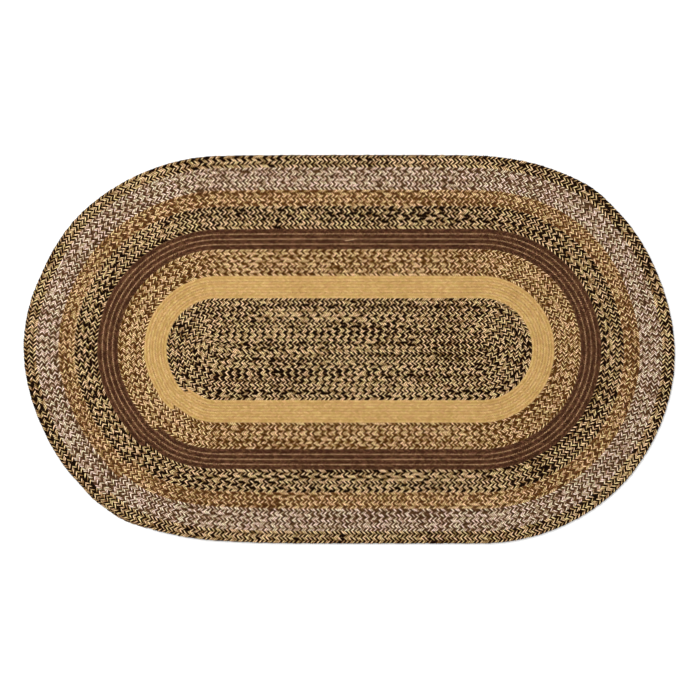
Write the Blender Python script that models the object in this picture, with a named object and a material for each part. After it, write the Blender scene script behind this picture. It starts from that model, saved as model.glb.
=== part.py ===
"""An oval braided rug: one spiral of flat braid, sewn edge to edge, in eight lengths of different colours.

The braid starts along the middle, turns at the left end and winds counter-clockwise. Each turn lies level
beside the last one and steps out by one row at the lower left, where each new length is butted on.
"""

from collections import namedtuple
from math import cos, exp, pi, radians, sin

import bmesh
import bpy
from mathutils import Vector

# Sizes in metres
HALF_STRAIGHT = 0.3080      # from the middle to the centre of each round end
THICKNESS = 0.008           # flat top of a braid row
SEAM_HEIGHT = 0.0052        # bottom of the groove between two rows
SHOULDER = 0.24             # where a row's flat top starts, as a share of its width
EDGE_TUCK = 0.0025          # how far the rim draws in at the floor
BUTT_GAP = 0.0003           # between two lengths of braid

# Stations at which each turn is drawn
ARC_STEPS = 24              # round each end
STRAIGHT_STEPS = 4          # along each side

# The place where each turn steps out to the next row
JOIN_STEP = 19              # arc step round the left end
STEP_RUN = 0.075            # half of the run over which a row steps out
TIP_WIDTHS = (0.15, 0.4, 0.65, 0.85)    # of the last row's full width, back from its tip
TIP_STATIONS = 2            # how far the last row runs past the join

Band = namedtuple("Band", "node rows row_width colour roughness")
BANDS = (
    Band("centre_braid", 10, 0.01254, (0.50, 0.38, 0.25), 0.90),
    Band("tan_braid", 4, 0.01313, (0.79, 0.62, 0.39), 0.85),
    Band("brown_tan_braid", 5, 0.01237, (0.58, 0.44, 0.26), 0.88),
    Band("dark_brown_braid", 4, 0.01196, (0.29, 0.18, 0.12), 0.92),
    Band("black_tan_braid", 4, 0.01336, (0.50, 0.39, 0.25), 0.90),
    Band("tan_brown_braid", 3, 0.01254, (0.61, 0.46, 0.27), 0.88),
    Band("taupe_braid", 4, 0.01313, (0.62, 0.51, 0.42), 0.90),
    Band("edge_braid", 2, 0.01460, (0.50, 0.38, 0.25), 0.90),
)

Sway = namedtuple("Sway", "end angle out spread")   # where hand sewing left the rim uneven
SWAYS = (
    Sway(1, 80, -0.0035, 0.10),
    Sway(1, 55, 0.0038, 0.05),
    Sway(1, 20, -0.0061, 0.14),
    Sway(1, -45, 0.0026, 0.14),
    Sway(-1, 115, -0.0062, 0.20),
    Sway(-1, 155, -0.0056, 0.10),
    Sway(-1, 205, -0.0054, 0.14),
    Sway(-1, 260, -0.0088, 0.14),
)

Station = namedtuple("Station", "base_x out_x out_y turned gone")
Section = namedtuple("Section", "inner shoulder_in shoulder_out outer")


def row_valleys():
    """The radius of the groove inside each row, and of the rim last. The middle row lies across the axis."""
    radii = [-BANDS[0].row_width / 2]
    for band in BANDS:
        for _ in range(band.rows):
            radii.append(radii[-1] + band.row_width)
    radii += [radii[-1] + BANDS[-1].row_width, radii[-1] + 2 * BANDS[-1].row_width]
    return radii


def turn_stations():
    """One turn, counter-clockwise from the join, with the angle and the straight run gone since it."""
    def at_left(step):
        angle = pi / 2 + pi * step / ARC_STEPS
        return Station(-HALF_STRAIGHT, cos(angle), sin(angle), pi * (step - JOIN_STEP) / ARC_STEPS, 0)

    def at_right(step):
        angle = -pi / 2 + pi * step / ARC_STEPS
        return Station(HALF_STRAIGHT, cos(angle), sin(angle), after, 2 * HALF_STRAIGHT)

    def along(step, side, turned):
        x = HALF_STRAIGHT * (2 * step / STRAIGHT_STEPS - 1)
        return Station(x, 0.0, side, turned, -side * (x + HALF_STRAIGHT))

    after, before = pi * LEFT_LOW / ARC_STEPS, -pi * JOIN_STEP / ARC_STEPS
    stations = [at_left(n) for n in range(JOIN_STEP, ARC_STEPS + 1)]
    stations += [along(n, -1, after) for n in range(1, STRAIGHT_STEPS)]
    stations += [at_right(n) for n in range(ARC_STEPS)]
    stations += [along(n, 1, before) for n in range(STRAIGHT_STEPS, 0, -1)]
    stations += [at_left(n) for n in range(JOIN_STEP)]
    return stations


LEFT_LOW = ARC_STEPS - JOIN_STEP                        # station at the foot of the left end
RIGHT_LOW = LEFT_LOW + STRAIGHT_STEPS
RIGHT_HIGH = RIGHT_LOW + ARC_STEPS
LEFT_HIGH = RIGHT_HIGH + STRAIGHT_STEPS
VALLEYS = row_valleys()
STATIONS = turn_stations()
PER_TURN = len(STATIONS)
ROWS = sum(band.rows for band in BANDS)
LAST = ROWS * PER_TURN + TIP_STATIONS                   # the tip of the last row


def fade(share):
    """1 at nothing, falling smoothly to 0 at a share of 1."""
    return (1 + cos(pi * min(abs(share), 1.0))) / 2


def radius(index):
    """The groove's distance from the axis, counted in stations from the start of the middle row."""
    turn, place = divmod(index, PER_TURN)
    station = STATIONS[place]
    level = VALLEYS[turn]
    run = station.turned * level + station.gone
    if place < PER_TURN / 2:
        stepped = (VALLEYS[turn - 1] + level) / 2
    else:
        stepped = (VALLEYS[turn + 1] + level) / 2
    if turn == 1 and place <= LEFT_LOW:
        return 0.0
    found = level + (stepped - level) * fade(run / STEP_RUN)
    back = LAST + PER_TURN - index
    if back < len(TIP_WIDTHS):
        inner = radius(index - PER_TURN)
        found = inner + (found - inner) * TIP_WIDTHS[back]
    return found


def sway(point):
    """How far out the sewing pushed the rug here."""
    total = 0.0
    for s in SWAYS:
        rim = Vector((cos(radians(s.angle)), sin(radians(s.angle)))) * VALLEYS[ROWS]
        away = (point - rim - Vector((s.end * HALF_STRAIGHT, 0.0))).length
        total += s.out * exp(-((away / s.spread) ** 2))
    return total


def valley(index, shift=0.0):
    """A point of the groove line in plan, moved outwards by shift."""
    station = STATIONS[index % PER_TURN]
    out = Vector((station.out_x, station.out_y))
    flat = Vector((station.base_x, 0.0)) + out * radius(index)
    return flat + out * (sway(flat) + shift)


def lead_in():
    """Inner and outer groove stations of the middle row, from its start at the right round to row one."""
    pairs = [(PER_TURN + RIGHT_LOW - n, PER_TURN + RIGHT_HIGH + n) for n in range(STRAIGHT_STEPS)]
    hub = PER_TURN + LEFT_LOW
    pairs += [(hub, PER_TURN + place) for place in range(LEFT_HIGH, PER_TURN + LEFT_LOW)]
    return pairs


class Length:
    """One length of braid, built as a ring of turns fused along their grooves."""

    def __init__(self, band, first, last):
        self.band, self.first, self.last = band, first, last
        self.mesh = bmesh.new()
        self.tops, self.feet = {}, {}
        pairs = [(i, i + PER_TURN) for i in range(max(first, PER_TURN + LEFT_LOW), last + 1)]
        self.middle = first == 0
        if self.middle:
            pairs = lead_in() + pairs
        self.sections = [self.section(*pair) for pair in pairs]
        for near, far in zip(self.sections, self.sections[1:]):
            self.join(near, far)
        self.close_ends()
        self.close_walls()

    def across_join(self, index):
        """A butted end stands half a gap back from the join."""
        if index in (self.first, self.first + PER_TURN) and not self.middle:
            return BUTT_GAP / 2
        if index in (self.last, self.last + PER_TURN):
            return -BUTT_GAP / 2
        return 0.0

    def place(self, index):
        """Groove point, half a gap inside the band where another length lies beside it."""
        shift = 0.0
        if not self.middle and index <= self.first + PER_TURN:
            shift = BUTT_GAP / 2
        if index >= self.last:
            shift = -BUTT_GAP / 2
        station = STATIONS[index % PER_TURN]
        ahead = Vector((-station.out_y, station.out_x)) * self.across_join(index)
        return valley(index, shift) + ahead, shift

    def groove(self, index):
        if index not in self.tops:
            flat, shift = self.place(index)
            self.tops[index] = self.mesh.verts.new((*flat, SEAM_HEIGHT))
            station = STATIONS[index % PER_TURN]
            if self.last == LAST and shift < 0:
                room = radius(index) - radius(index - PER_TURN)
                flat -= Vector((station.out_x, station.out_y)) * min(EDGE_TUCK, room / 4)
            self.feet[index] = self.mesh.verts.new((*flat, 0.0))
        return self.tops[index]

    def section(self, inner, outer):
        near, far = self.groove(inner), self.groove(outer)
        a, b = near.co.lerp(far.co, SHOULDER), near.co.lerp(far.co, 1 - SHOULDER)
        rise = (THICKNESS - SEAM_HEIGHT) * min(1.0, (far.co - near.co).length / self.band.row_width)
        a.z = b.z = SEAM_HEIGHT + rise
        return Section(inner, self.mesh.verts.new(a), self.mesh.verts.new(b), outer)

    def face(self, *corners):
        """A face without the corners that fall together."""
        kept = [c for n, c in enumerate(corners) if c is not corners[n - 1]]
        if len(kept) > 2:
            self.mesh.faces.new(kept)

    def join(self, near, far):
        """The strip of top and underside between two sections."""
        tops, feet = self.tops, self.feet
        lines = [
            (tops[s.inner], s.shoulder_in, s.shoulder_out, tops[s.outer]) for s in (near, far)
        ]
        for n in range(3):
            self.face(lines[0][n], lines[0][n + 1], lines[1][n + 1], lines[1][n])
        self.face(feet[near.inner], feet[far.inner], feet[far.outer], feet[near.outer])

    def close_ends(self):
        tops, feet = self.tops, self.feet
        tail = self.sections[-1]
        self.face(feet[tail.inner], tops[tail.inner], tail.shoulder_in, tail.shoulder_out,
                  tops[tail.outer], feet[tail.outer])
        head = self.sections[0]
        if not self.middle:
            self.face(feet[head.outer], tops[head.outer], head.shoulder_out, head.shoulder_in,
                      tops[head.inner], feet[head.inner])
            return
        low, high = PER_TURN + RIGHT_LOW, PER_TURN + RIGHT_HIGH    # the rounded start at the right
        tip = (low + high) // 2
        for i in range(low, high):
            top = head.shoulder_in if i < tip else head.shoulder_out
            self.face(top, self.groove(i), self.groove(i + 1))
        self.face(head.shoulder_in, tops[tip], head.shoulder_out)
        self.face(*[feet[i] for i in range(high, low - 1, -1)])

    def close_walls(self):
        tops, feet = self.tops, self.feet
        if not self.middle:
            for i in range(self.first, self.first + PER_TURN):
                self.face(tops[i], tops[i + 1], feet[i + 1], feet[i])
        for i in range(self.last, self.last + PER_TURN):
            self.face(feet[i], feet[i + 1], tops[i + 1], tops[i])


def linear(colour):
    return [((c + 0.055) / 1.055) ** 2.4 for c in colour]


def fibre_material(band):
    material = bpy.data.materials.new(band.node + "_fibre")
    material.use_nodes = True
    shader = material.node_tree.nodes["Principled BSDF"]
    shader.inputs["Base Color"].default_value = (*linear(band.colour), 1.0)
    shader.inputs["Roughness"].default_value = band.roughness
    shader.inputs["Metallic"].default_value = 0.0
    material.diffuse_color = (*linear(band.colour), 1.0)
    return material


def add_length(band, first, last):
    length = Length(band, first, last)
    mesh = bpy.data.meshes.new(band.node)
    length.mesh.to_mesh(mesh)
    length.mesh.free()
    mesh.materials.append(fibre_material(band))
    mesh.shade_smooth()
    mesh.set_sharp_from_angle(angle=radians(50))
    obj = bpy.data.objects.new(band.node, mesh)
    bpy.context.scene.collection.objects.link(obj)


def build():
    for obj in list(bpy.data.objects):
        bpy.data.objects.remove(obj)
    turn = 0
    for band in BANDS:
        first, turn = turn * PER_TURN, turn + band.rows
        add_length(band, first, LAST if turn == ROWS else turn * PER_TURN)


build()
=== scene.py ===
from math import ceil, cos, exp, pi, radians, sin

import bmesh
import bpy
import numpy as np
from mathutils import Matrix, Vector


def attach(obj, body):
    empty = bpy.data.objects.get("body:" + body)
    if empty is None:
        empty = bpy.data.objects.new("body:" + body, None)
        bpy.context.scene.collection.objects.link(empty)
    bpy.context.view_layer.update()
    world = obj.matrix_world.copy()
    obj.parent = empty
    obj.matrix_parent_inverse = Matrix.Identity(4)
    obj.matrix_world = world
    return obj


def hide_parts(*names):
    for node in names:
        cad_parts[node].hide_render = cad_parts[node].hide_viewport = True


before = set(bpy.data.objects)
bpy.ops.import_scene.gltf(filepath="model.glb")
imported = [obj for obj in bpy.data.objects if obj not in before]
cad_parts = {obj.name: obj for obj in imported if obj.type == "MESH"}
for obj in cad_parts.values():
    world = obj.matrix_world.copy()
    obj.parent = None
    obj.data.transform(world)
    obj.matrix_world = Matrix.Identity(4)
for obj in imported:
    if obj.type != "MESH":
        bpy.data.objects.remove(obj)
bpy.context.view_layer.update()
print("frame loaded")

# The braid's run: one spiral that steps out by a row at the lower left. Metres.
coil = {
    "halfStraight": 0.308,      # middle of the rug to the centre of each round end
    "thickness": 0.008,
    "strands": 7,               # in the plait
    "arcSteps": 72,             # round each end
    "straightSteps": 24,        # along each side
    "joinStep": 57,             # arc step round the left end where a turn steps out
    "stepRun": 0.075,           # half the run over which it does
    "tipSteps": 6,              # how far the last row runs past the join
    "tipWidths": [0.15, 0.4, 0.65, 0.85, 1.0],      # share of the row's width, back from the tip
    "tipEvery": 3,              # steps between those
}

# Where hand sewing left the rim uneven: which end, angle round it, how far out, how wide
sways = [
    {"end": 1, "angle": 80, "out": -0.0035, "spread": 0.10},
    {"end": 1, "angle": 55, "out": 0.0038, "spread": 0.05},
    {"end": 1, "angle": 20, "out": -0.0061, "spread": 0.14},
    {"end": 1, "angle": -45, "out": 0.0026, "spread": 0.14},
    {"end": -1, "angle": 115, "out": -0.0062, "spread": 0.20},
    {"end": -1, "angle": 155, "out": -0.0056, "spread": 0.10},
    {"end": -1, "angle": 205, "out": -0.0054, "spread": 0.14},
    {"end": -1, "angle": 260, "out": -0.0088, "spread": 0.14},
]

# The lengths of braid from the middle outwards. A mixed one names the yarns of its light, dark and plied
# strands and the seed of their plan, and may have its own counts of dark strands. The last one has painted
# shade on the light legs along the rug's rim, darkest at their outer ends, over the share of its run from
# rimFrom on.
bands = {
    "centre_braid": {"rows": 10, "rowWidth": 0.01254, "yarns": ["straw", "black", "blackStraw"],
                     "seed": 213},
    "tan_braid": {"rows": 4, "rowWidth": 0.01313, "yarns": ["golden"]},
    "brown_tan_braid": {"rows": 5, "rowWidth": 0.01237, "yarns": ["tan", "brown", "brownTan"],
                        "counts": {2: 0.4, 3: 1.0, 4: 0.2}, "seed": 367},
    "dark_brown_braid": {"rows": 4, "rowWidth": 0.01196, "yarns": ["espresso"]},
    "black_tan_braid": {"rows": 4, "rowWidth": 0.01336, "yarns": ["straw", "black", "blackStraw"],
                        "seed": 209},
    "tan_brown_braid": {"rows": 3, "rowWidth": 0.01254, "yarns": ["tan", "bran", "branTan"],
                        "counts": {3: 1.0, 4: 0.9}, "seed": 219},
    "taupe_braid": {"rows": 4, "rowWidth": 0.01313, "yarns": ["cream", "umber", "umberCream"],
                    "counts": {2: 0.2, 3: 1.0, 4: 0.4}, "seed": 296},
    "edge_braid": {"rows": 2, "rowWidth": 0.01460, "yarns": ["straw", "black", "blackStraw"],
                   "rimShadedYarn": "rimShadedStraw", "rimFrom": 0.49, "seed": 392},
}


# The run of the braid in plan

rowCount = sum(band["rows"] for band in bands.values())
leftLow = coil["arcSteps"] - coil["joinStep"]
rightLow = leftLow + coil["straightSteps"]
rightHigh = rightLow + coil["arcSteps"]
leftHigh = rightHigh + coil["straightSteps"]


def turnStations():     # base x, outward x and y, angle and straight run since the join
    half, arc, side = coil["halfStraight"], coil["arcSteps"], coil["straightSteps"]

    def atLeft(step):
        angle = pi / 2 + pi * step / arc
        return (-half, cos(angle), sin(angle), pi * (step - coil["joinStep"]) / arc, 0)

    def atRight(step):
        angle = -pi / 2 + pi * step / arc
        return (half, cos(angle), sin(angle), after, 2 * half)

    def along(step, out, turned):
        x = half * (2 * step / side - 1)
        return (x, 0, out, turned, -out * (x + half))

    after, before = pi * leftLow / arc, -pi * coil["joinStep"] / arc
    found = [atLeft(n) for n in range(coil["joinStep"], arc + 1)]
    found += [along(n, -1, after) for n in range(1, side)]
    found += [atRight(n) for n in range(arc)]
    found += [along(n, 1, before) for n in range(side, 0, -1)]
    found += [atLeft(n) for n in range(coil["joinStep"])]
    return found


stations = turnStations()
perTurn = len(stations)
lastStep = rowCount * perTurn + coil["tipSteps"]
grooves = [-bands["centre_braid"]["rowWidth"] / 2]      # distance of each groove from the axis
for band in bands.values():
    for _ in range(band["rows"]):
        grooves.append(grooves[-1] + band["rowWidth"])
grooves += [grooves[-1] + n * bands["edge_braid"]["rowWidth"] for n in (1, 2)]


def grooveRadius(step):
    turn, place = divmod(step, perTurn)
    _, _, _, turned, gone = stations[place]
    level = grooves[turn]
    if turn == 1 and place <= leftLow:
        return 0.0
    beside = grooves[turn - 1] if place < perTurn / 2 else grooves[turn + 1]
    share = min(abs(turned * level + gone) / coil["stepRun"], 1)
    radius = level + (beside - level) / 2 * (1 + cos(pi * share)) / 2
    back = (lastStep + perTurn - step) / coil["tipEvery"]
    if back < len(coil["tipWidths"]) - 1:
        near = int(back)
        low, high = coil["tipWidths"][near:near + 2]
        inner = grooveRadius(step - perTurn)
        radius = inner + (radius - inner) * (low + (high - low) * (back - near))
    return radius


def groovePoint(step):
    baseX, outX, outY, _, _ = stations[step % perTurn]
    out = Vector((outX, outY, 0))
    point = Vector((baseX, 0, 0)) + out * grooveRadius(step)
    pushed = 0
    for sway in sways:
        angle = radians(sway["angle"])
        rim = Vector((cos(angle), sin(angle), 0)) * grooves[rowCount]
        rim.x += sway["end"] * coil["halfStraight"]
        pushed += sway["out"] * exp(-((point - rim).length / sway["spread"]) ** 2)
    return point + out * pushed


def braidSections():    # the grooves on both sides of the braid, all along it, and its step count
    hub = perTurn + leftLow
    pairs = [(perTurn + rightLow - n, perTurn + rightHigh + n) for n in range(coil["straightSteps"])]
    pairs += [(hub, perTurn + place) for place in range(leftHigh, perTurn + leftLow)]
    pairs += [(step, step + perTurn) for step in range(hub, lastStep + 1)]
    steps = sorted({step for pair in pairs for step in pair})
    points = {step: groovePoint(step) for step in steps}
    return [(points[inner], points[outer], outer - perTurn) for inner, outer in pairs]


sections = braidSections()


def stretchOf(first, last):     # the sections of one length of braid
    if first == 0:
        return [s for s in sections if s[2] <= last]
    return [s for s in sections if first <= s[2] <= last]


def runCurve(name, points, radii):
    data = bpy.data.curves.new(name, "CURVE")
    data.dimensions, data.twist_mode, data.use_radius = "3D", "Z_UP", True
    spline = data.splines.new("POLY")
    spline.points.add(len(points) - 1)
    for target, point, radius in zip(spline.points, points, radii):
        target.co, target.radius = (*point, 1), radius
    run = bpy.data.objects.new(name, data)
    bpy.context.scene.collection.objects.link(run)
    return run


def lengthOf(points):
    return sum((b - a).length for a, b in zip(points, points[1:]))


def asMesh(obj):        # the finished mesh in place of the object and its modifiers
    graph = bpy.context.evaluated_depsgraph_get()
    mesh = bpy.data.meshes.new_from_object(
        obj.evaluated_get(graph), preserve_all_data_layers=True, depsgraph=graph)
    name = obj.name
    bpy.data.objects.remove(obj)
    made = bpy.data.objects.new(name, mesh)
    mesh.name = name
    bpy.context.scene.collection.objects.link(made)
    return made


# Finishes

class Wire:             # a shader value that takes plain sums
    def __init__(self, finish, socket):
        self.finish, self.socket = finish, socket

    def sum(self, operation, *values):
        return self.finish.node("Math", {"operation": operation}, dict(enumerate(values)))

    def __add__(self, other): return self.sum("ADD", self, other)
    def __radd__(self, other): return self.sum("ADD", other, self)
    def __sub__(self, other): return self.sum("SUBTRACT", self, other)
    def __rsub__(self, other): return self.sum("SUBTRACT", other, self)
    def __mul__(self, other): return self.sum("MULTIPLY", self, other)
    def __rmul__(self, other): return self.sum("MULTIPLY", other, self)
    def __mod__(self, other): return self.sum("MODULO", self, other)
    def __abs__(self): return self.sum("ABSOLUTE", self)
    def floor(self): return self.sum("FLOOR", self)
    def fraction(self): return self.sum("FRACT", self)


class Finish:
    def __init__(self, name, fixed):
        self.material = bpy.data.materials.new(name)
        self.material.use_nodes = True
        self.tree = self.material.node_tree
        self.shader = self.tree.nodes["Principled BSDF"]
        for socket, value in fixed.items():
            self.shader.inputs[socket].default_value = value

    def feed(self, socket, value):
        if isinstance(value, Wire):
            self.tree.links.new(value.socket, socket)
        else:
            socket.default_value = value

    def node(self, kind, settings, inputs, out=0):
        made = self.tree.nodes.new("ShaderNode" + kind)
        for name, value in settings.items():
            if name == "stops":
                self.setStops(made.color_ramp.elements, value)
            else:
                setattr(made, name, value)
        for name, value in inputs.items():
            self.feed(made.inputs[name], value)
        return Wire(self, made.outputs[out])

    def setStops(self, elements, stops):
        for n, (place, colour) in enumerate(stops):
            element = elements[n] if n < 2 else elements.new(place)
            element.position, element.color = place, linear(colour)

    def mix(self, factor, first, second):
        return self.node("Mix", {"data_type": "RGBA"}, {0: factor, 6: first, 7: second}, 2)

    def scaled(self, colour, amount):
        return self.node("VectorMath", {"operation": "SCALE"}, {0: colour, "Scale": amount})

    def noise(self, vector, scale, detail=2.0):
        return self.node("TexNoise", {"noise_dimensions": "3D"},
                         {"Vector": vector, "Scale": scale, "Detail": detail})

    def smooth(self, value, low, high):
        return self.node("MapRange", {"interpolation_type": "SMOOTHSTEP"},
                         {"Value": value, "From Min": low, "From Max": high})

    def wear(self, **outputs):
        for name, value in outputs.items():
            self.feed(self.shader.inputs[name.replace("_", " ")], value)


def linear(colour):     # from screen values out of 255
    return [*(((c / 255 + 0.055) / 1.055) ** 2.4 for c in colour), 1]


def yarnFinish(name, yarn):
    finish = Finish(name, {"Specular IOR Level": yarn["gloss"]})
    place = finish.node("UVMap", {"uv_map": "yarn"}, {})
    u = finish.node("SeparateXYZ", {}, {0: place}, 0)
    v = finish.node("SeparateXYZ", {}, {0: place}, 1)
    along, across = u.fraction(), v.fraction()
    leg = finish.node("CombineXYZ", {}, {0: u.floor(), 1: v.floor(), 2: yarn["lot"]})
    chance = finish.node("TexWhiteNoise", {"noise_dimensions": "3D"}, {"Vector": leg})
    shifted = finish.node("VectorMath", {"operation": "ADD"}, {0: leg, 1: yarn["tintShift"]})
    tint = finish.node("TexWhiteNoise", {"noise_dimensions": "3D"}, {"Vector": shifted})
    strand = finish.node("TexWhiteNoise", {"noise_dimensions": "1D"},
                         {"W": u.floor() % coil["strands"] + yarn["lot"]})
    fade = finish.noise(finish.node("TexCoord", {}, {}, 3), yarn["fadeScale"])
    # The plies run along the leg with a slight twist, and the fibres are drawn out that way too.
    # Chance and tint put each leg at its own place in the noise.
    turned = across + along * yarn["twist"]
    fibre = finish.noise(finish.node("CombineXYZ", {}, {
        0: along * yarn["drawn"] + chance * 40, 1: turned * yarn["fibres"], 2: tint * 20}), 1.0, 3.0)
    ply = finish.smooth(abs((turned * yarn["plies"] + chance).fraction() - 0.5), 0.5, 0.3)
    # Masks for painted shade: along the sides of a leg, where it tucks under the crossing leg, and at its
    # outer end
    tuck = finish.smooth(along, yarn["tuckFrom"], 1.0)
    rim = finish.smooth(abs(across - 0.5) + tuck * yarn["taper"], *yarn["rimSpan"])
    tip = finish.smooth(along, yarn["tipReach"], 0.0)
    level = yarn["level"] + (chance - 0.5) * yarn["legShade"] + (fibre - 0.5) * yarn["fibreShade"] \
        + (fade - 0.5) * yarn["fadeShade"] + (strand - 0.5) * yarn["strandShade"]
    # Painted shade: the level falls at those masks and in the grooves between the plies
    level = level * (1 - rim * yarn["rimShade"]) * (1 - tuck * yarn["tuckShade"]) \
        * (1 - tip * yarn["tipShade"]) * (1 - (1 - ply) * yarn["plyShade"])
    hue = finish.node("ValToRGB", {"stops": yarn["tones"]}, {0: level})
    if yarn["pliedWith"]:
        other = finish.node("ValToRGB", {"stops": yarns[yarn["pliedWith"]]["tones"]}, {0: level})
        hue = finish.mix(ply, hue, other)
    tinge = finish.mix(tint, yarn["tinges"][0], yarn["tinges"][1])
    finish.wear(Base_Color=finish.node("VectorMath", {"operation": "MULTIPLY"}, {0: hue, 1: tinge}),
                Roughness=yarn["matt"] + (fibre - 0.5) * 0.3,
                Normal=finish.node("Bump", {}, {"Strength": 0.5, "Distance": yarn["fuzz"],
                                                "Height": fibre + ply}))
    return finish.material


# Each yarn's tones run from painted shade deep in the plait, where it is darkest, up to the crest of a leg,
# which on the light yarns is a painted highlight; the yarn's own colour lies between
yarns = {
    "straw": {"tones": [(0, (26, 12, 2)), (1, (250, 222, 172)), (0.3, (134, 98, 50))]},
    # Painted shade: the straw on the rug's rim, darker overall and far darker over the outer ends of its
    # legs, where they turn down
    "rimShadedStraw": {"tones": [(0, (26, 12, 2)), (1, (250, 222, 172)), (0.3, (134, 98, 50))],
                 "level": 0.8, "tipShade": 0.95, "tipReach": 0.75},
    "black": {"tones": [(0, (10, 4, 0)), (1, (32, 16, 5))], "gloss": 0.02},
    "blackStraw": {"tones": [(0, (10, 4, 0)), (1, (32, 16, 5))], "pliedWith": "straw", "gloss": 0.02},
    "golden": {"tones": [(0, (116, 78, 32)), (1, (220, 190, 130)), (0.6, (184, 148, 88))], "level": 0.74,
               "legShade": 0.25, "rimShade": 0.2, "tuckShade": 0.25, "tipShade": 0.0, "plyShade": 0.1,
               "fibreShade": 1.0, "strandShade": 0.05, "fadeShade": 0.2,
               "tinges": [(0.96, 1.0, 0.88, 1), (1.05, 0.98, 1.08, 1)]},
    "tan": {"tones": [(0, (38, 18, 4)), (1, (255, 223, 172)), (0.3, (150, 110, 56))]},
    "brown": {"tones": [(0, (44, 21, 5)), (1, (104, 66, 26))], "gloss": 0.05},
    "brownTan": {"tones": [(0, (44, 21, 5)), (1, (104, 66, 26))], "pliedWith": "tan", "gloss": 0.05},
    "bran": {"tones": [(0, (44, 22, 7)), (1, (114, 74, 37))], "gloss": 0.05},
    "branTan": {"tones": [(0, (44, 22, 7)), (1, (114, 74, 37))], "pliedWith": "tan", "gloss": 0.05},
    "espresso": {"tones": [(0, (40, 20, 10)), (1, (132, 94, 66)), (0.5, (76, 48, 31))], "gloss": 0.05,
                 "level": 0.51, "legShade": 0.55, "rimShade": 0.3, "tuckShade": 0.2, "tipShade": 0.0,
                 "fibreShade": 1.6, "strandShade": 0.05, "fadeShade": 0.3},
    "cream": {"tones": [(0, (40, 20, 7)), (1, (255, 241, 220)), (0.3, (167, 134, 102))]},
    "umber": {"tones": [(0, (42, 23, 11)), (1, (100, 70, 45))], "gloss": 0.05},
    "umberCream": {"tones": [(0, (42, 23, 11)), (1, (100, 70, 45))], "pliedWith": "cream", "gloss": 0.05},
    "thread": {"tones": [(0, (96, 64, 40)), (1, (220, 178, 132))], "twist": 3.0, "plyShade": 0.4,
               "level": 0.56, "rimShade": 0.3, "tuckShade": 0.0, "tipShade": 0.0, "legShade": 0.8,
               "fadeShade": 0.8, "fadeScale": 25.0},
    "endThread": {"tones": [(0, (130, 92, 60)), (1, (242, 206, 160))], "twist": 18.0, "plyShade": 0.4,
                  "rimShade": 0.2, "tuckShade": 0.0, "tipShade": 0.0, "legShade": 0.3},
    "goldThread": {"tones": [(0, (130, 88, 44)), (1, (222, 184, 126))], "twist": 3.0, "plyShade": 0.2,
                   "level": 0.42, "rimShade": 0.1, "tuckShade": 0.0, "tipShade": 0.0, "legShade": 0.5},
}
yarnDefaults = {
    "level": 0.92,              # where on its tones the crest of a leg lies
    "legShade": 0.8, "strandShade": 0.3, "fibreShade": 1.0,     # how much each varies that
    "fadeShade": 0.4, "fadeScale": 10.0,
    # Painted shade: rimShade along the sides of a leg in the gaps between legs, tuckShade where it tucks
    # under in the middle of the row, tipShade at its outer end where it turns down, plyShade in the grooves
    # between plies
    "rimShade": 1.0, "rimSpan": (0.1, 0.42), "taper": 0.08,     # darker along the sides of a leg
    "tuckShade": 0.6, "tuckFrom": 0.52,         # and where it tucks under the middle of the row
    "tipShade": 0.3, "tipReach": 0.3,           # and at the edge of the row
    "plyShade": 0.15, "plies": 2.0, "twist": 0.9, "pliedWith": "",
    "fibres": 7.0, "drawn": 2.5, "fuzz": 0.0003, "gloss": 0.15, "matt": 0.82,
    "tinges": [(0.95, 1.0, 0.83, 1), (1.09, 0.96, 1.05, 1)], "tintShift": (9, 4, 7),
}
yarnMaterials = {}
for lot, (name, yarn) in enumerate(yarns.items()):
    yarnMaterials[name] = yarnFinish(name + "Yarn", {**yarnDefaults, **yarn, "lot": lot * 13.0})
print("yarns dyed")


# One repeat of the plait: each strand crosses from edge to middle on both faces

margin = 0.04           # of a leg's cell in the yarn map that stays free on each side

leg = {
    "pitch": 0.00483,           # along the braid
    "cover": 0.99,              # of the pitch that a leg fills
    "drop": 0.0015,             # from its crest to its sides
    "stray": 0.0026,            # how far hand work moves it
    "slim": 2.6,                # its length over its width
    "top": [(0.505, 0.70), (0.43, 0.90), (0.20, 1.0), (-0.05, 0.68)],    # across the row, up the thickness
    "topLean": [(0.45, 0.5), (0.3, 0.9), (0.1, 1), (-0.2, 0.98)],        # which way it faces there
    "under": [(0.505, 0.70), (0.41, 0.03), (-0.04, 0.12)],
    "underLean": [(0.45, 0.5), (0.2, -1), (0, -1)],
}


def addLeg(bm, uv, start, side, slot, width, face):
    line, leans = leg[face], leg[face + "Lean"]
    forward = 1 if face == "top" else -1
    count = len(line) - 1
    patch = bmesh.ops.create_grid(bm, x_segments=count, y_segments=2, size=1)["verts"]
    spots = {}
    for vert in patch:
        n, across = round((vert.co.x + 1) / 2 * count), round(vert.co.y)
        spots[vert] = (margin + (1 - 2 * margin) * n / count, 0.5 + (0.5 - margin) * across)
        (y, z), (leanY, leanZ) = line[n], leans[n]
        drop = leg["drop"] * across ** 2
        vert.co = (
            start + forward * width * (0.5 - y) + across * side * forward * leg["pitch"] / 2 * leg["cover"],
            side * (y * width - drop * leanY),
            z * coil["thickness"] - drop * leanZ)
    for part in {part for vert in patch for part in vert.link_faces}:
        part.smooth = True
        for loop in part.loops:
            along, across = spots[loop.vert]
            loop[uv].uv = (slot + along, across)


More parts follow.
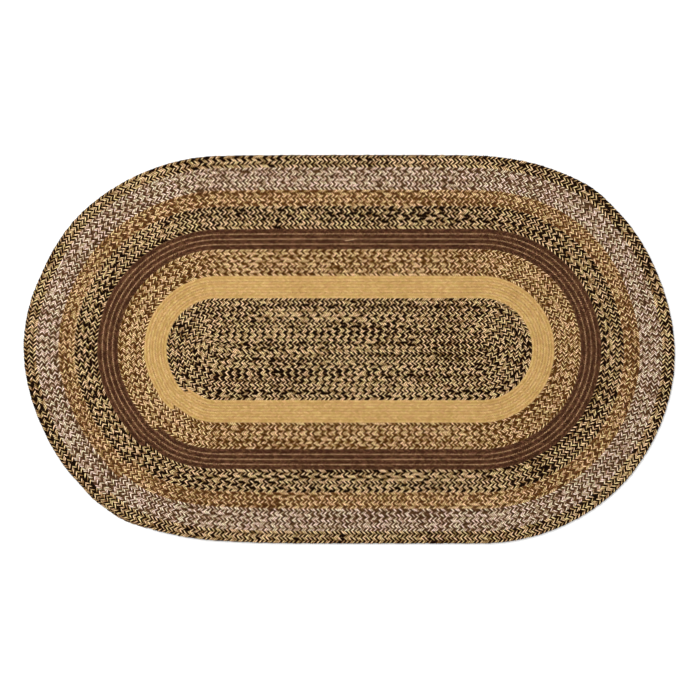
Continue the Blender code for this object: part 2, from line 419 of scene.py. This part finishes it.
def repeatMesh(name, width):
    bm = bmesh.new()
    uv = bm.loops.layers.uv.new("yarn")
    strands = coil["strands"]
    for n in range(strands):
        for side, shift, slot in ((1, 0, n), (-1, 0.5, strands + (n - strands // 2) % strands)):
            for face in ("top", "under"):
                addLeg(bm, uv, (n + shift) * leg["pitch"], side, slot, width, face)
    mesh = bpy.data.meshes.new(name)
    bm.to_mesh(mesh)
    bm.free()
    return mesh


wander = bpy.data.textures.new("legWander", "CLOUDS")      # no two legs lie quite alike
wander.noise_scale, wander.noise_depth, wander.cloud_type = 0.006, 1, "COLOR"

# Mostly three or four strands are dark. Which ones they are drifts along the braid.
plait = {
    "dark": [0, 3, 5],          # at the start
    "stay": (3, 11),            # repeats before a strand changes
    "mixing": 2.4,              # how much likelier each further run of dark strands is
    "counts": {2: 0.1, 3: 1.0, 4: 0.9, 5: 0.1},      # how likely so many of them are dark
    "plied": 0.35,              # share of the stretches in which one strand is plied of both yarns
    "slips": 0.1,               # share of single legs that show another yarn
}


def strandPlan(repeats, seed, counts):
    chance, strands = np.random.default_rng(seed), coil["strands"]
    plan = np.zeros((repeats, strands), np.int32)
    dark, at = plait["dark"], 0
    while at < repeats:
        end = at + chance.integers(*plait["stay"])
        plan[at:end, dark] = 1
        if chance.random() < plait["plied"]:
            plan[at:end, chance.integers(strands)] = 2
        moves = [{*dark} - {s} | {(s + d) % strands} for s in dark for d in (-1, 1)]
        moves += [{*dark} - {s} for s in dark] + [{*dark} | {s} for s in range(strands)]
        moves = [sorted(move) for move in moves if len(move) in counts]
        runs = [sum((s + 1) % strands not in move for s in move) for move in moves]
        odds = np.array([counts[len(move)] * plait["mixing"] ** n for move, n in zip(moves, runs)])
        dark, at = moves[chance.choice(len(moves), p=odds / odds.sum())], end
    legs = np.tile(plan, 2)
    return np.where(chance.random(legs.shape) < plait["slips"], chance.integers(3, size=legs.shape), legs)


def layYarns(mesh, band, repeats, slots=2 * coil["strands"]):   # each leg's yarn and cell of the baking map
    at = np.empty(len(mesh.loops) * 2, np.float32)
    mesh.uv_layers["yarn"].uv.foreach_get("vector", at)
    at = at.reshape(-1, 2).astype(np.float64)
    cell = np.floor(at).astype(int)
    for name in band["yarns"]:
        mesh.materials.append(yarnMaterials[name])
    if len(band["yarns"]) > 1:
        plan = strandPlan(repeats, band["seed"], band.get("counts", plait["counts"]))
        first = cell[::4]       # every face has four corners
        worn = plan[first[:, 1], first[:, 0]]
        # Light legs on the rim side of the last turn take the straw with painted shade
        if "rimShadedYarn" in band:
            mesh.materials.append(yarnMaterials[band["rimShadedYarn"]])
            onRim = (first[:, 1] > repeats * band["rimFrom"]) & (first[:, 0] >= coil["strands"])
            worn[(worn == 0) & onRim] = len(band["yarns"])
        mesh.polygons.foreach_set("material_index", worn)
    number = cell[:, 1] * slots + cell[:, 0]
    columns = ceil((slots * repeats / leg["slim"]) ** 0.5)
    rows = ceil(slots * repeats / columns)
    packed = np.stack([(number % columns + at[:, 0] - cell[:, 0]) / columns,
                       (number // columns + at[:, 1] - cell[:, 1]) / rows], axis=1)
    mesh.uv_layers.new(name="OFBake").uv.foreach_set("vector", packed.astype(np.float32).ravel())


def laidAlong(name, mesh, step, count, run, stray=0.0):     # repeats the mesh along the run
    piece = bpy.data.objects.new(name, mesh)
    bpy.context.scene.collection.objects.link(piece)
    array = piece.modifiers.new("repeats", "ARRAY")
    array.fit_type, array.count = "FIXED_COUNT", count
    array.use_relative_offset, array.use_constant_offset = False, True
    array.constant_offset_displace, array.offset_v = (step, 0, 0), 1.0
    bend = piece.modifiers.new("coil", "CURVE")
    bend.object, bend.deform_axis = run, "POS_X"
    if stray:
        loose = piece.modifiers.new("wander", "DISPLACE")
        loose.texture, loose.texture_coords, loose.direction = wander, "LOCAL", "RGB_TO_XYZ"
        loose.strength, loose.mid_level = stray, 0.5
    piece = asMesh(piece)
    bpy.data.objects.remove(run)
    return piece


def braidPiece(node, band, first, last):
    stretch = stretchOf(first, last)
    middles = [(inner + outer) / 2 for inner, outer, _ in stretch]
    widths = [(outer - inner).length / band["rowWidth"] for inner, outer, _ in stretch]
    length, usual = lengthOf(middles), coil["strands"] * leg["pitch"]
    repeats = round(length / usual)
    step = length / repeats
    mesh = repeatMesh(node, band["rowWidth"])
    mesh.transform(Matrix.Scale(step / usual, 4, (1, 0, 0)))
    run = runCurve(node + "_run", middles, widths)
    piece = laidAlong(node + "_plait", mesh, step, repeats, run, leg["stray"])
    layYarns(piece.data, band, repeats)
    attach(piece, "root")
    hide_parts(node)
    print(node, "braided,", repeats, "repeats,", round(length, 2), "m")
    return piece


braids = []
turn = 0
for node, band in bands.items():
    first, turn = turn * perTurn, turn + band["rows"]
    last = lastStep if turn == rowCount else turn * perTurn
    braids.append(braidPiece(node, band, first, last))


# The yarns inside each row, seen in the gaps between the legs

inside = {
    "name": "inner_yarns",
    "profile": [(0.56, 0.35), (0.50, 0.50), (0.28, 0.66), (0, 0.52), (-0.28, 0.66), (-0.45, 0.42),
                (-0.28, 0.2), (0.28, 0.2)],     # reaches under the next row in, which closes the seam
    "every": 3,                 # takes each third section of the run
    "coarse": 180.0, "fine": 1400.0,            # scales of its mottle
    "shade": 0.7, "coarseShade": 0.4, "fineShade": 0.2, "fuzz": 0.0004,
    # The inner yarns are real, but their colours, all but the golden one, are painted shade: each far darker
    # than its yarn, as seen in the shade between the legs
    "colours": {"golden": (214, 176, 118), "espresso": (44, 25, 12), "cream": (70, 46, 28),
                "tan": (48, 27, 10), "straw": (30, 16, 6)},     # by each length's first yarn
}


def innerFinish(name, colour):
    finish = Finish(name + "Inside", {"Specular IOR Level": 0.1})
    spot = finish.node("TexCoord", {}, {}, 3)
    coarse, fine = finish.noise(spot, inside["coarse"]), finish.noise(spot, inside["fine"])
    shade = inside["shade"] + coarse * inside["coarseShade"] + fine * inside["fineShade"]
    finish.wear(Base_Color=finish.scaled(linear(colour)[:3], shade),
                Roughness=0.85 + (fine - 0.5) * 0.2,
                Normal=finish.node("Bump", {}, {"Strength": 0.6, "Distance": inside["fuzz"], "Height": fine}))
    return finish.material


def bandOfFaces(mesh):      # which length of braid lies at each face
    rims = np.cumsum([band["rows"] * band["rowWidth"] for band in bands.values()]) + grooves[0]
    spots = np.array([part.center for part in mesh.polygons])
    away = np.hypot(np.maximum(abs(spots[:, 0]) - coil["halfStraight"], 0), spots[:, 1])
    return np.minimum(np.searchsorted(rims, away), len(bands) - 1)


def innerYarns():
    width = bands["centre_braid"]["rowWidth"]
    profile = bpy.data.curves.new("innerProfile", "CURVE")
    ring = profile.splines.new("POLY")
    ring.points.add(len(inside["profile"]) - 1)
    ring.use_cyclic_u = True
    for target, (y, z) in zip(ring.points, inside["profile"]):
        target.co = (-y * width, z * coil["thickness"], 0, 1)
    guide = bpy.data.objects.new("innerProfile", profile)
    bpy.context.scene.collection.objects.link(guide)
    chosen = sections[::inside["every"]] + ([sections[-1]] if (len(sections) - 1) % inside["every"] else [])
    run = runCurve(inside["name"], [(inner + outer) / 2 for inner, outer, _ in chosen],
                   [(outer - inner).length / width for inner, outer, _ in chosen])
    run.data.bevel_mode, run.data.bevel_object, run.data.use_fill_caps = "OBJECT", guide, True
    piece = asMesh(run)
    bpy.data.objects.remove(guide)
    piece.data.materials.clear()
    names = list(inside["colours"])
    for name in names:
        piece.data.materials.append(innerFinish(name, inside["colours"][name]))
    wearers = np.array([names.index(band["yarns"][0]) for band in bands.values()], np.int32)
    piece.data.polygons.foreach_set("material_index", wearers[bandOfFaces(piece.data)])
    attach(piece, "root")
    return piece


core = innerYarns()
print("inner yarns laid")


# Sewing thread in a zigzag over each seam

stitch = {
    "name": "seam_thread",
    "pitch": 0.0026,            # along the seam, from one needle hole to the next
    "reach": 0.0017,            # to each side of the seam
    "thick": 0.0013,
    "slant": 0.62,              # half its width along the seam, over its thickness
    "height": 0.9,              # of the rug's thickness, where it crosses the seam
    "sink": 0.0006,             # from there to the needle holes
    "buried": 0.0022,           # how much deeper it lies where a row has more than one yarn
}


def seamThread():
    plain = [len(band["yarns"]) == 1 for band in bands.values() for _ in range(band["rows"])] + [False]
    points = []
    for inner, _, step in sections:
        if step >= perTurn + leftLow:
            row = step // perTurn
            deep = 0 if plain[row - 1] and plain[row] else stitch["buried"]
            points.append(inner - Vector((0, 0, deep)))
    length = lengthOf(points)
    count = int(length / stitch["pitch"] / 2)
    step = length / count
    bm = bmesh.new()
    uv = bm.loops.layers.uv.new("yarn")
    for slot, side in enumerate((-1, 1)):
        patch = bmesh.ops.create_grid(bm, x_segments=2, y_segments=1, size=1)["verts"]
        spots = {}
        for vert in patch:
            along, across = round(vert.co.x), round(vert.co.y)
            spots[vert] = (0.5 + (0.5 - margin) * along, 0.5 + (0.5 - margin) * across)
            slant = stitch["thick"] * stitch["slant"] * across
            vert.co = (
                (slot + (along + 1) / 2) * step / 2 + slant, side * along * stitch["reach"],
                stitch["height"] * coil["thickness"] - stitch["sink"] * abs(along))
        for part in {part for vert in patch for part in vert.link_faces}:
            part.smooth = True
            for loop in part.loops:
                along, across = spots[loop.vert]
                loop[uv].uv = (slot + along, across)
    mesh = bpy.data.meshes.new(stitch["name"])
    bm.to_mesh(mesh)
    bm.free()
    piece = laidAlong(stitch["name"], mesh, step, count, runCurve("seam_run", points, [1.0] * len(points)))
    layYarns(piece.data, {"yarns": ["thread"]}, count, slots=2)
    piece.data.materials.append(yarnMaterials["goldThread"])
    isGold = np.array([band["yarns"][0] == "golden" for band in bands.values()], np.int32)
    piece.data.polygons.foreach_set("material_index", isGold[bandOfFaces(piece.data)])
    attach(piece, "root")
    return piece


thread = seamThread()
print("rows sewn")


# A loose end of that thread lies over a dark brown row

looseEnd = {
    "name": "thread_end",
    "points": [(0.0110, 0.2560, 0.0070), (0.0080, 0.2557, 0.0083), (0.0030, 0.2549, 0.0092),
               (-0.0030, 0.2539, 0.0095), (-0.0080, 0.2531, 0.0093), (-0.0105, 0.2534, 0.0087)],
    "thick": 0.0010,
}


def threadEnd():
    run = runCurve(looseEnd["name"], looseEnd["points"], [1.0] * len(looseEnd["points"]))
    run.data.bevel_depth, run.data.bevel_resolution = looseEnd["thick"] / 2, 2
    run.data.use_fill_caps = True
    piece = asMesh(run)
    piece.data.uv_layers[0].name = "yarn"
    piece.data.materials.append(yarnMaterials["endThread"])
    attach(piece, "root")
    return piece


tail = threadEnd()

for piece in (*braids, core, thread, tail):
    print(piece.name, sum(len(part.vertices) - 2 for part in piece.data.polygons), "triangles")


# Floor, light and camera

studio = {
    "floor": (0.92, 0.92, 0.92), "floorSize": 12.0,
    "floorLevel": -0.0011,      # clear of the lowest yarns
    "sky": 0.95,
    "key": 60.0, "keySize": 1.6, "keyPlace": (-0.8, 1.1, 2.9),
    "frameWidth": 1.634,        # metres across the picture at the rug
    "height": 4.0, "middle": (0.0016, -0.0019),
}


def makeStudio():
    bm = bmesh.new()
    bmesh.ops.create_grid(bm, x_segments=1, y_segments=1, size=studio["floorSize"] / 2)
    mesh = bpy.data.meshes.new("studio_floor")
    bm.to_mesh(mesh)
    bm.free()
    floor = bpy.data.objects.new("studio_floor", mesh)
    bpy.context.scene.collection.objects.link(floor)
    floor.location.z = studio["floorLevel"]
    paper = Finish("studio_paper", {"Base Color": (*studio["floor"], 1), "Roughness": 0.9,
                                    "Specular IOR Level": 0.1})
    mesh.materials.append(paper.material)
    world = bpy.data.worlds.new("studio")
    world.use_nodes = True
    world.node_tree.nodes["Background"].inputs["Color"].default_value = (1, 1, 1, 1)
    world.node_tree.nodes["Background"].inputs["Strength"].default_value = studio["sky"]
    bpy.context.scene.world = world
    lamp = bpy.data.lights.new("softbox", "AREA")
    lamp.shape, lamp.size, lamp.energy = "DISK", studio["keySize"], studio["key"]
    box = bpy.data.objects.new("softbox", lamp)
    box.location = studio["keyPlace"]
    box.rotation_euler = (-box.location).to_track_quat("-Z", "Y").to_euler()
    bpy.context.scene.collection.objects.link(box)


def makeCamera():
    lens = bpy.data.cameras.new("camera")
    lens.lens = lens.sensor_width * studio["height"] / studio["frameWidth"]
    lens.clip_end = 60
    camera = bpy.data.objects.new("camera", lens)
    camera.location = (*studio["middle"], studio["height"] + coil["thickness"])
    bpy.context.scene.collection.objects.link(camera)
    bpy.context.scene.camera = camera


makeStudio()
makeCamera()
bpy.context.scene.view_settings.view_transform = "Standard"
print("studio set")
